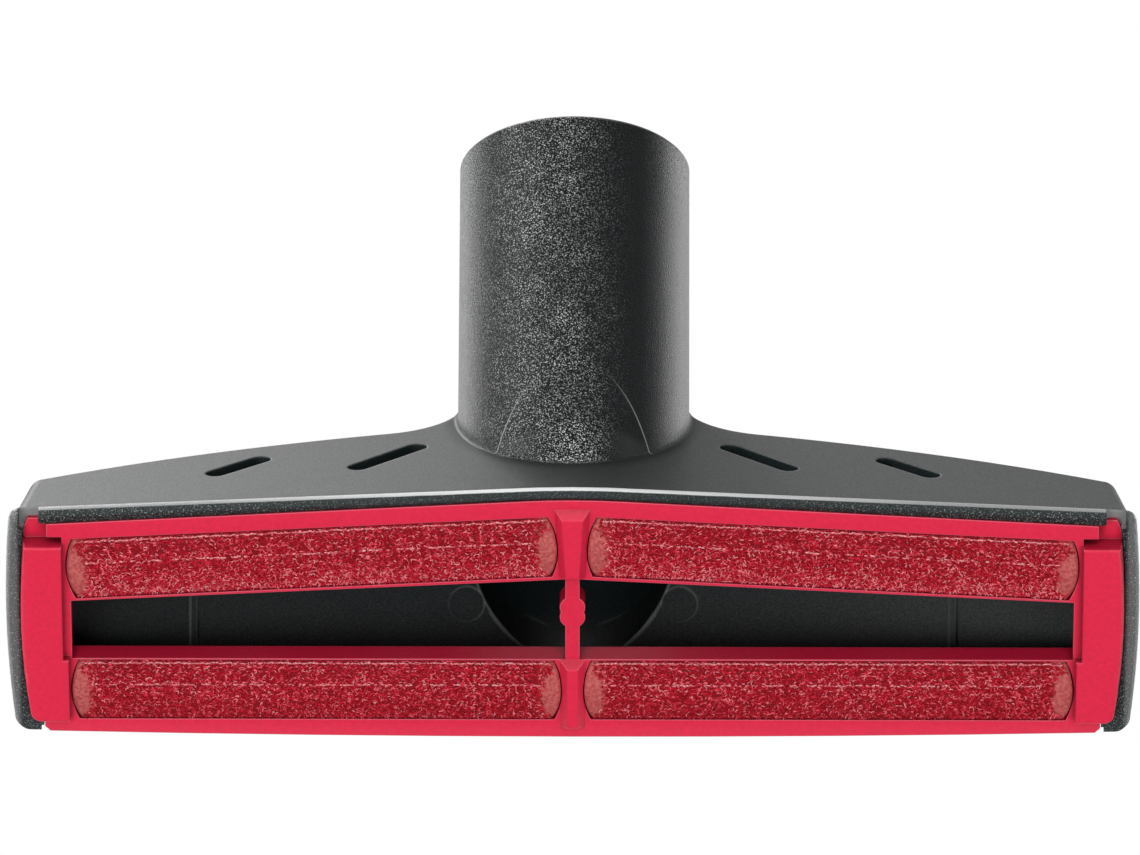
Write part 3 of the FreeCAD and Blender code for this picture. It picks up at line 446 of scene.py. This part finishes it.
def pile_tree():
    """Geometry Nodes that cover a strip with curled fibres in woven rows, leave its ends bare and
    bind its rear edge and a line a third of the way across with thread."""
    tree = bpy.data.node_groups.new("lint_pile", "GeometryNodeTree")
    for kind, names in (
            ("Geometry", ("Geometry",)),
            ("Float", ("Straight", "Width", "End bulge", "Bare end", "Crown level", "Edge level",
                       "Row pitch", "Fibre length", "Fibre radius", "Stitch pitch",
                       "Thread radius", "Turn", "Facing")),
            ("Vector", ("Centre",)),
            ("Int", ("Seed",)),
            ("Material", ("Pile", "Thread"))):
        for name in names:
            tree.interface.new_socket(name, in_out="INPUT", socket_type="NodeSocket" + kind)
    tree.interface.new_socket("Geometry", in_out="OUTPUT", socket_type="NodeSocketGeometry")
    given = add(tree, "NodeGroupInput").outputs

    def chance(low, high, salt):
        """A random number for each point."""
        seed = add(tree, "ADD", (given["Seed"], salt))
        return add(tree, RANDOM, {2: low, 3: high, 8: seed}, data_type="FLOAT").outputs[1]

    def scattered(points, size, salt):
        """Moves each point at random, by up to a size each way."""
        seed = add(tree, "ADD", (given["Seed"], salt))
        low = add(tree, VECTOR_MATH, {0: size, "Scale": -1.0}, operation="SCALE")
        shift = add(tree, RANDOM, {0: low, 1: size, 8: seed}, data_type="FLOAT_VECTOR")
        return add(tree, "GeometryNodeSetPosition", {"Geometry": points, "Offset": shift})

    spot = add(tree, SPLIT, (add(tree, "GeometryNodeInputPosition"),)).outputs
    across = add(tree, "DIVIDE", (spot["Y"], add(tree, "MULTIPLY", (given["Width"], 0.5))))
    bowed = add(tree, "SUBTRACT", (1.0, add(tree, "MULTIPLY", (across, across))))

    # The face's level at each point, and how far the pile reaches towards the ragged end
    rise = add(tree, "SUBTRACT", (given["Crown level"], given["Edge level"]))
    level = add(tree, "ADD", (given["Edge level"], add(tree, "MULTIPLY", (rise, bowed))))
    reach = add(tree, "ADD", (add(tree, "MULTIPLY", (given["Straight"], 0.5)),
                              add(tree, "MULTIPLY", (given["End bulge"], bowed))))
    # The bare patch is an oval, a little towards the front
    oval = add(tree, "DIVIDE", (add(tree, "SUBTRACT", (across, 0.1)), 0.75))
    oval = add(tree, "SUBTRACT", (1.0, add(tree, "MULTIPLY", (oval, oval))))
    oval = add(tree, "SQRT", (add(tree, "MAXIMUM", (oval, 0.0)),))
    oval = add(tree, "ADD", (add(tree, "MULTIPLY", (given["Bare end"], oval)), 0.3 * MM))
    ragged = add(tree, "SUBTRACT", (add(tree, "SUBTRACT", (reach, oval)),
                                    chance(0.0, 0.9 * MM, 1)))
    bare = add(tree, "GREATER_THAN", (add(tree, "ABSOLUTE", (spot["X"],)), ragged))

    def placed(points, height):
        """Moves flat points onto the crowned face, height above it."""
        lift = add(tree, "SUBTRACT", (level, height))
        flat = add(tree, VECTOR, (spot["X"], spot["Y"], lift))
        return add(tree, "GeometryNodeSetPosition", {"Geometry": points, "Position": flat})

    def tube(start, middle, end, radius):
        """A bent tube of three sides and three steps."""
        line = add(tree, "GeometryNodeCurveQuadraticBezier",
                   {"Resolution": 3, "Start": start, "Middle": middle, "End": end})
        ring = add(tree, "GeometryNodeCurvePrimitiveCircle", {"Resolution": 3, "Radius": radius})
        return add(tree, "GeometryNodeCurveToMesh", {"Curve": line, "Profile Curve": ring})

    # Pile: a grid of rows, each fibre a small curl that stands out of the face and bends over
    pitch = given["Row pitch"]
    length = add(tree, "ADD", (given["Straight"], add(tree, "MULTIPLY", (given["End bulge"], 2.0))))
    points = add(tree, "GeometryNodeMeshGrid", {
        "Size X": length, "Size Y": add(tree, "SUBTRACT", (given["Width"], 0.5 * MM)),
        "Vertices X": add(tree, "ROUND", (add(tree, "DIVIDE", (given["Straight"], pitch)),)),
        "Vertices Y": add(tree, "ROUND", (add(tree, "DIVIDE", (given["Width"], pitch)),))})
    loose = add(tree, "MULTIPLY", (pitch, 0.42))
    points = scattered(points, add(tree, VECTOR, (loose, loose)), 2)
    points = add(tree, "GeometryNodeDeleteGeometry", {"Geometry": points, "Selection": bare})
    points = placed(points, chance(0.0, 0.16 * MM, 3))
    half = add(tree, "MULTIPLY", (given["Fibre length"], 0.5))
    start = add(tree, VECTOR, (add(tree, "MULTIPLY", (half, -1.0)),
                               add(tree, "MULTIPLY", (half, 0.3)), 0.12 * MM))
    middle = add(tree, VECTOR, {"Y": add(tree, "MULTIPLY", (half, -1.5)),
                                "Z": add(tree, "MULTIPLY", (half, -1.0))})
    end = add(tree, VECTOR, (half, add(tree, "MULTIPLY", (half, 0.4)), 0.1 * MM))
    lean = add(tree, VECTOR, (chance(-0.5, 0.5, 4), chance(-0.5, 0.5, 5), chance(-1.5, 1.5, 6)))
    fibres = add(tree, "GeometryNodeInstanceOnPoints", {
        "Points": points, "Instance": tube(start, middle, end, given["Fibre radius"]),
        "Rotation": lean, "Scale": chance(0.7, 1.25, 7)})

    # Most fibres are deep crimson. The weave tints them paler in diamonds 0.65 mm wide, a painted
    # highlight on its ridges, and the front half of a rear strip is painted paler as painted light;
    # that of a front strip is painted darker as painted shade
    luck = add(tree, "POWER", (chance(0.0, 1.0, 8), 1.6))
    facing = add(tree, "MULTIPLY", (add(tree, "MAXIMUM", (across, 0.0)), given["Facing"]))
    waves = []
    for slope in ("ADD", "SUBTRACT"):
        phase = add(tree, "MULTIPLY", (add(tree, slope, (spot["X"], spot["Y"])), WEAVE))
        waves.append(add(tree, "SINE", (phase,)))
    weave = add(tree, "MULTIPLY", (add(tree, "MULTIPLY", tuple(waves)), 0.22))
    tint = add(tree, "ADD", (add(tree, "ADD", (luck, facing)), weave))
    fibres = add(tree, "GeometryNodeStoreNamedAttribute",
                 {"Geometry": fibres, "Name": "fibre_tint", "Value": tint},
                 data_type="FLOAT", domain="INSTANCE")
    fibres = add(tree, "GeometryNodeRealizeInstances", {"Geometry": fibres})
    pile = add(tree, "GeometryNodeSetMaterial", {"Geometry": fibres, "Material": given["Pile"]})

    # Thread: one full row along the rear edge and a broken one a third of the way across
    pitch = given["Stitch pitch"]
    reach = add(tree, "MULTIPLY", (add(tree, "MULTIPLY", (pitch, 0.92)), 0.5))
    start = add(tree, VECTOR, (add(tree, "MULTIPLY", (reach, -1.0)),))
    middle = add(tree, VECTOR, {"Z": add(tree, "MULTIPLY", (reach, -0.55))})
    stitch = tube(start, middle, add(tree, VECTOR, (reach,)), given["Thread radius"])
    count = add(tree, "FLOOR", (add(tree, "DIVIDE", (length, pitch)),))
    rows = []
    for share, thinning, height, salt in ((-0.95, 0.0, 0.3, 20), (-0.3, 0.35, 0.24, 30)):
        begin = add(tree, VECTOR, (add(tree, "MULTIPLY", (length, -0.5)),
                                   add(tree, "MULTIPLY", (given["Width"], 0.5 * share))))
        points = add(tree, "GeometryNodeMeshLine", {
            "Count": count, "Start Location": begin, "Offset": add(tree, VECTOR, (pitch,))})
        points = scattered(points, add(tree, VECTOR, (0.06 * MM, 0.09 * MM)), salt)
        missing = add(tree, "LESS_THAN", (chance(0.0, 1.0, salt + 1), thinning))
        missing = add(tree, "MAXIMUM", (missing, bare))
        points = add(tree, "GeometryNodeDeleteGeometry",
                     {"Geometry": points, "Selection": missing})
        askew = add(tree, VECTOR, {"Z": chance(-0.35, 0.35, salt + 2)})
        rows.append(add(tree, "GeometryNodeInstanceOnPoints", {
            "Points": placed(points, height * MM), "Instance": stitch, "Rotation": askew,
            "Scale": chance(0.75, 1.1, salt + 3)}))
    both = add(tree, "GeometryNodeJoinGeometry", (rows,))
    both = add(tree, "GeometryNodeRealizeInstances", {"Geometry": both})
    thread = add(tree, "GeometryNodeSetMaterial", {"Geometry": both, "Material": given["Thread"]})

    grown = add(tree, "GeometryNodeJoinGeometry", ([pile, thread],))
    seated = add(tree, "GeometryNodeTransform", {
        "Geometry": grown, "Translation": given["Centre"],
        "Rotation": add(tree, VECTOR, {"Z": given["Turn"]})})
    whole = add(tree, "GeometryNodeJoinGeometry", ([seated, given["Geometry"]],))
    add(tree, "NodeGroupOutput", (whole,))
    return tree


def baked(grower, tree, values):
    """Runs the tree over an object with named values and turns the result into a plain mesh."""
    modifier = grower.modifiers.new("growth", "NODES")
    modifier.node_group = tree
    for item in tree.interface.items_tree:
        if item.in_out == "INPUT" and item.name in values:
            modifier[item.identifier] = values[item.name]
    graph = bpy.context.evaluated_depsgraph_get()
    result = bpy.data.meshes.new_from_object(grower.evaluated_get(graph), depsgraph=graph)
    grower.modifiers.remove(modifier)
    grower.data = result
    return grower


class LintStripSizes(bpy.types.PropertyGroup):
    """Sizes of the four lint strips in the sole."""
    straight: bpy.props.FloatProperty(
        name="Straight length", description="Length of a strip between its bulged ends",
        default=79.6 * MM, unit="LENGTH")
    width: bpy.props.FloatProperty(
        name="Width", description="Width of a strip across the sole",
        default=11.5 * MM, unit="LENGTH")
    end_bulge: bpy.props.FloatProperty(
        name="End bulge", description="How far each end bulges past the straight length",
        default=1.25 * MM, unit="LENGTH")
    crown_level: bpy.props.FloatProperty(
        name="Crown level", description="Height of the middle of the strip's face above the skids",
        default=0.62 * MM, unit="LENGTH")
    edge_level: bpy.props.FloatProperty(
        name="Edge level", description="Height of the edges of the strip's face above the skids",
        default=1.8 * MM, unit="LENGTH")
    back_level: bpy.props.FloatProperty(
        name="Back level", description="Height of the strip's back above the skids",
        default=2.95 * MM, unit="LENGTH")
    bare_end: bpy.props.FloatProperty(
        name="Bare end", description="Length of the sealed end that carries no pile",
        default=2.6 * MM, unit="LENGTH")
    row_pitch: bpy.props.FloatProperty(
        name="Row pitch", description="Spacing of the fibres along and across the strip",
        default=0.31 * MM, unit="LENGTH")
    fibre_length: bpy.props.FloatProperty(
        name="Fibre length", description="Length of one curled fibre from root to tip",
        default=0.62 * MM, unit="LENGTH")
    fibre_radius: bpy.props.FloatProperty(
        name="Fibre radius", description="Radius of one tuft of fibre",
        default=0.1 * MM, unit="LENGTH")
    stitch_pitch: bpy.props.FloatProperty(
        name="Stitch pitch", description="Spacing of the binding stitches",
        default=0.58 * MM, unit="LENGTH")
    thread_radius: bpy.props.FloatProperty(
        name="Thread radius", description="Radius of the binding thread",
        default=0.16 * MM, unit="LENGTH")


class Finishes(bpy.types.PropertyGroup):
    """Colours of the moulded pieces."""
    black_colour: bpy.props.FloatVectorProperty(
        name="Housing colour", description="Colour of the black housing", subtype="COLOR", size=3,
        min=0.0, max=1.0, default=linear("#0C1011")[:3])
    red_colour: bpy.props.FloatVectorProperty(
        name="Sole frame colour", description="Colour of the red sole frame", subtype="COLOR",
        size=3, min=0.0, max=1.0, default=linear("#D82044")[:3])
    floor_colour: bpy.props.FloatVectorProperty(
        name="Floor colour", description="Colour of the floor, seen from above", subtype="COLOR",
        size=3, min=0.0, max=1.0, default=linear("#F2F2F2")[:3])


class StageSizes(bpy.types.PropertyGroup):
    """Where the camera stands and how strong the lamps are."""
    elevation: bpy.props.FloatProperty(
        name="Elevation",
        description="Angle of the camera above the horizon, so below it if negative",
        default=math.radians(-57.43), subtype="ANGLE")
    azimuth: bpy.props.FloatProperty(
        name="Azimuth", description="Turn of the camera round the nozzle",
        default=math.radians(0.52), subtype="ANGLE")
    roll: bpy.props.FloatProperty(
        name="Roll", description="Turn of the camera about its own axis",
        default=math.radians(0.557), subtype="ANGLE")
    distance: bpy.props.FloatProperty(
        name="Distance", description="Distance of the camera from what it looks at",
        default=2.625, unit="LENGTH")
    frame_width: bpy.props.FloatProperty(
        name="Frame width", description="Width that the picture covers at that distance",
        default=0.19096, unit="LENGTH")
    ambient: bpy.props.FloatProperty(
        name="Ambient light", description="Brightness of the white room that lights the nozzle",
        default=0.42, min=0.0)


def dress(node, material):
    """Gives a CAD node its material, in its only slot."""
    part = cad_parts[node]
    part.data.materials.clear()
    part.data.materials.append(material)


class NOZZLE_OT_housing(bpy.types.Operator):
    """Finish the moulded black housing with its grain"""
    bl_idname = "nozzle.housing"
    bl_label = "Housing"

    def execute(self, context):
        dress("housing", black_abs(context.scene.nozzle_finishes))
        return {"FINISHED"}


class NOZZLE_OT_sole_frame(bpy.types.Operator):
    """Finish the moulded red sole frame"""
    bl_idname = "nozzle.sole_frame"
    bl_label = "Sole frame"

    def execute(self, context):
        dress("sole_frame", red_plastic(context.scene.nozzle_finishes))
        return {"FINISHED"}


class NOZZLE_OT_lint_strips(bpy.types.Operator):
    """Build the four lint strips with their pile, sealed ends and binding thread"""
    bl_idname = "nozzle.lint_strips"
    bl_label = "Lint strips"

    def execute(self, context):
        sizes = context.scene.nozzle_strips
        pile, thread = nylon_pile(), edge_thread()
        backing, end = woven_backing(), sealed_end()
        tree = pile_tree()
        for name, x, y, turn, facing, seed in STRIPS:
            centre = Vector((x * MM, y * MM, 0.0))
            strip = strip_backing("pile_" + name, sizes, centre, math.radians(turn))
            strip.data.materials.append(backing)
            strip.data.materials.append(end)
            baked(strip, tree, {
                "Straight": sizes.straight, "Width": sizes.width, "End bulge": sizes.end_bulge,
                "Bare end": sizes.bare_end, "Crown level": sizes.crown_level,
                "Edge level": sizes.edge_level, "Row pitch": sizes.row_pitch,
                "Fibre length": sizes.fibre_length, "Fibre radius": sizes.fibre_radius,
                "Stitch pitch": sizes.stitch_pitch, "Thread radius": sizes.thread_radius,
                "Turn": math.radians(turn), "Facing": facing, "Centre": centre, "Seed": seed,
                "Pile": pile, "Thread": thread})
            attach(strip, "root")
            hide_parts("lint_strip_" + name)
        return {"FINISHED"}


def lamp(name, at, size, power, aim):
    """A rectangular softbox at a place in millimetres that faces another place."""
    light = bpy.data.lights.new(name, "AREA")
    light.shape = "RECTANGLE"
    light.size, light.size_y = size[0] * MM, size[1] * MM
    light.energy = power
    box = linked(name, light)
    box.location = Vector(at) * MM
    box.rotation_mode = "QUATERNION"
    box.rotation_quaternion = (Vector(aim) * MM - box.location).to_track_quat("-Z", "Y")
    box.visible_camera = False


def seen_directly(tree):
    """One for camera, glossy and transmission rays, and nought for the rest."""
    path = add(tree, "ShaderNodeLightPath").outputs
    straight = add(tree, "MAXIMUM", (path["Is Camera Ray"], path["Is Glossy Ray"]))
    return add(tree, "MAXIMUM", (straight, path["Is Transmission Ray"]))


def pale_floor(finish):
    """Matt white paper that shows from above only. The camera and the lamps under it look through
    its back."""
    material, tree = new_material("pale_floor")
    matt = add(tree, "ShaderNodeBsdfDiffuse", {"Color": tuple(finish.floor_colour) + (1.0,)})
    clear = add(tree, "ShaderNodeBsdfTransparent")
    back = add(tree, "ShaderNodeNewGeometry").outputs["Backfacing"]
    shown = add(tree, "MULTIPLY", (seen_directly(tree), add(tree, "SUBTRACT", (1.0, back))))
    mixed = add(tree, "ShaderNodeMixShader", (shown, clear, matt))
    add(tree, "ShaderNodeOutputMaterial", {"Surface": mixed})
    return material


class NOZZLE_OT_stage(bpy.types.Operator):
    """Set up the floor, the white room, the lamps and the camera"""
    bl_idname = "nozzle.stage"
    bl_label = "Stage"

    def execute(self, context):
        scene, sizes = context.scene, context.scene.nozzle_stage
        scene.view_settings.view_transform = "Standard"

        data = bpy.data.meshes.new("floor")
        corners = [(x * FLOOR_REACH, y * FLOOR_REACH, FLOOR_LEVEL)
                   for x, y in ((-1, -1), (1, -1), (1, 1), (-1, 1))]
        data.from_pydata(corners, [], [(0, 1, 2, 3)])
        floor = linked("floor", data)
        data.materials.append(pale_floor(scene.nozzle_finishes))

        # A white room: full white where it is seen or mirrored, and dimmer as light on the nozzle
        scene.world = bpy.data.worlds.new("white_room")
        scene.world.use_nodes = True
        tree = scene.world.node_tree
        tree.nodes.clear()
        strength = add(tree, RANGE, {"Value": seen_directly(tree), "To Min": sizes.ambient,
                                     "To Max": 1.0})
        light = add(tree, "ShaderNodeBackground", {"Color": (1, 1, 1, 1), "Strength": strength})
        add(tree, "ShaderNodeOutputWorld", {"Surface": light})

        for softbox in LAMPS:
            lamp(*softbox)

        view = bpy.data.cameras.new("camera")
        view.sensor_width = SENSOR_WIDTH
        view.lens = SENSOR_WIDTH * sizes.distance / sizes.frame_width
        view.clip_start, view.clip_end = 0.05, 20.0
        camera = linked("camera", view)
        back = Vector((math.sin(sizes.azimuth) * math.cos(sizes.elevation),
                       -math.cos(sizes.azimuth) * math.cos(sizes.elevation),
                       math.sin(sizes.elevation)))
        camera.rotation_mode = "QUATERNION"
        camera.location = Vector(CAMERA_AIM) * MM + back * sizes.distance
        roll = Quaternion((0, 0, 1), sizes.roll)
        camera.rotation_quaternion = (-back).to_track_quat("-Z", "Y") @ roll
        scene.camera = camera
        return {"FINISHED"}


class NOZZLE_PT_build(bpy.types.Panel):
    """Lists the nozzle's pieces and its stage"""
    bl_label = "Upholstery nozzle"
    bl_idname = "NOZZLE_PT_build"
    bl_space_type = "VIEW_3D"
    bl_region_type = "UI"
    bl_category = "Nozzle"

    def draw(self, context):
        for operator in OPERATORS:
            self.layout.operator(operator.bl_idname)
        scene = context.scene
        for group in (scene.nozzle_strips, scene.nozzle_finishes, scene.nozzle_stage):
            box = self.layout.box()
            for key in group.__annotations__:
                box.prop(group, key)


OPERATORS = (NOZZLE_OT_housing, NOZZLE_OT_sole_frame, NOZZLE_OT_lint_strips, NOZZLE_OT_stage)
GROUPS = (LintStripSizes, Finishes, StageSizes)


def register():
    for item in GROUPS + OPERATORS + (NOZZLE_PT_build,):
        bpy.utils.register_class(item)
    bpy.types.Scene.nozzle_strips = bpy.props.PointerProperty(type=LintStripSizes)
    bpy.types.Scene.nozzle_finishes = bpy.props.PointerProperty(type=Finishes)
    bpy.types.Scene.nozzle_stage = bpy.props.PointerProperty(type=StageSizes)


def unregister():
    del bpy.types.Scene.nozzle_strips, bpy.types.Scene.nozzle_finishes, bpy.types.Scene.nozzle_stage
    for item in reversed(GROUPS + OPERATORS + (NOZZLE_PT_build,)):
        bpy.utils.unregister_class(item)


def main():
    register()
    bpy.ops.nozzle.housing()
    bpy.ops.nozzle.sole_frame()
    bpy.ops.nozzle.lint_strips()
    bpy.ops.nozzle.stage()


if __name__ == "__main__":
    main()
